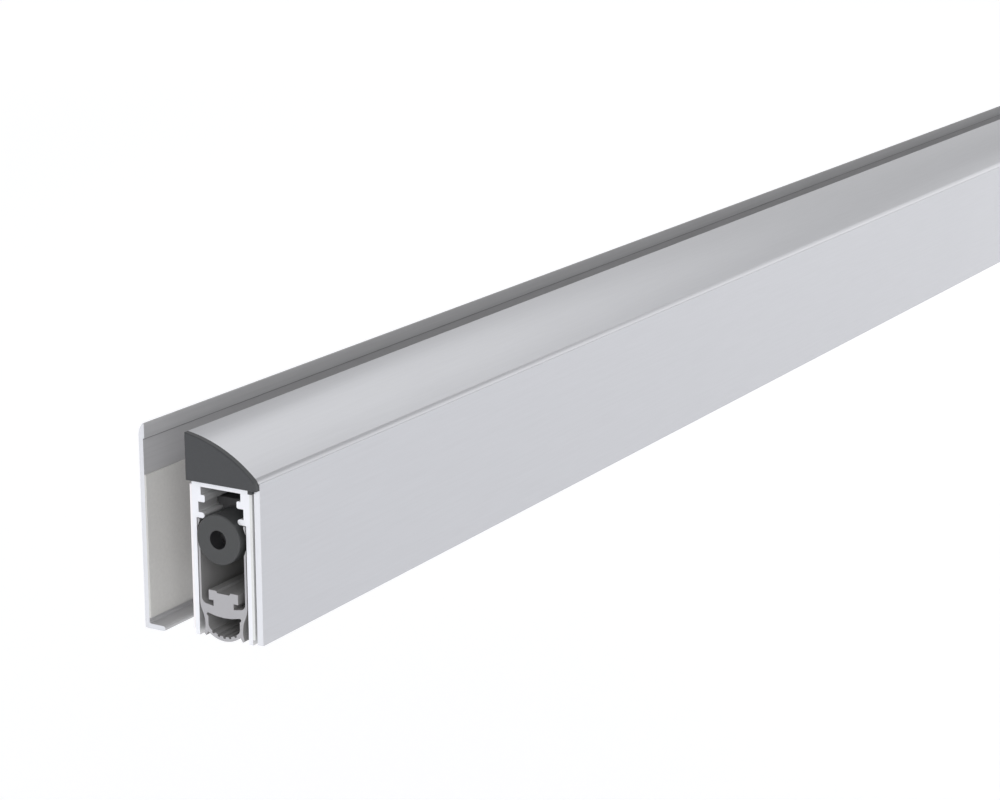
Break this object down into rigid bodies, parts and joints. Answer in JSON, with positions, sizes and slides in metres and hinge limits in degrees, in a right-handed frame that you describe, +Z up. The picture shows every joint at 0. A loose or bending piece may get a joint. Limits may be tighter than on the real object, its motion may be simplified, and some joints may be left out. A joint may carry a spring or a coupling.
{
  "type": "automatic door bottom seal",
  "caption": "Automatic drop-down bottom seal for a glass door: slim aluminium housing with a curved front cover, push button, hidden leaf springs, hollow lip seal and hooked back plate.",
  "frame": {"origin": "middle of the housing's adhesive face that goes on the glass", "axes": "+X along the door from the push button to the far end, +Y out of the housing's adhesive face through the glass to the back plate, +Z up"},
  "size_m": [0.5876, 0.0273, 0.0404],
  "materials": {
    "cover_aluminium": "satin silver anodised, very fine grain along the length",
    "plate_aluminium": "satin silver anodised",
    "housing_aluminium": "mill finish with bright sawn ends",
    "carrier_aluminium": "mill finish",
    "glass_tape": "white foam tape",
    "cover_tape": "pale grey foam tape",
    "plate_tape": "warm grey adhesive tape",
    "cap_plastic": "fine moulded dark grey",
    "button_plastic": "smooth moulded dark grey",
    "block_plastic": "dark grey acetal",
    "seal_silicone": "light grey silicone, matt",
    "spring_steel": "rolled spring steel",
    "rod_steel": "zinc plated flat bar",
    "rivet_steel": "zinc plated",
    "screw_steel": "plated steel"
  },
  "bodies": {
    "seal_case": {"back_plate": "plate_aluminium", "back_plate_tape": "plate_tape", "housing_profile": "housing_aluminium", "glass_side_tape": "glass_tape", "cover_side_tape": "cover_tape", "cover_profile": "cover_aluminium", "end_cap_near": "cap_plastic", "end_cap_far": "cap_plastic", "anchor_block_near": "block_plastic", "anchor_block_far": "block_plastic", "anchor_screws": "screw_steel", "anchor_rivets": "rivet_steel", "leaf_spring_near": "spring_steel", "leaf_spring_far": "spring_steel"},
    "push_train": {"slider_block": "block_plastic", "far_slider_block": "block_plastic", "slider_rivets": "rivet_steel", "push_rod": "rod_steel", "push_rod_pins": "rivet_steel"},
    "push_button": {"push_button": "button_plastic"},
    "adjusting_screw": {"adjusting_screw": "screw_steel"},
    "drop_seal": {"seal_profile": "seal_silicone", "carrier_rail": "carrier_aluminium", "spring_saddle_near": "block_plastic", "spring_saddle_far": "block_plastic", "saddle_rivets": "rivet_steel"}
  },
  "joints": [
    {"name": "push_slide", "type": "slide", "parent": "seal_case", "child": "push_train", "axis": [1, 0, 0], "range_m": [0, 0.006], "stiffness_N_per_m": 1500, "springref_m": -0.006},
    {"name": "seal_drop", "type": "slide", "parent": "seal_case", "child": "drop_seal", "axis": [0, 0, -1], "range_m": [0, 0.0108], "deforming": ["leaf_spring_near", "leaf_spring_far"]},
    {"name": "button_feed", "type": "slide", "parent": "push_train", "child": "push_button", "axis": [-1, 0, 0], "range_m": [0, 0.004]},
    {"name": "screw_turn", "type": "hinge", "parent": "push_button", "child": "adjusting_screw", "pos_m": [-0.2825, -0.00695, 0.0048], "axis": [-1, 0, 0], "range_deg": [0, 1800]}
  ],
  "couplings": [
    {"joint": "seal_drop", "follows": "push_slide", "ratio": 1.8},
    {"joint": "screw_turn", "follows": "button_feed", "rad_per_m": 7854}
  ]
}
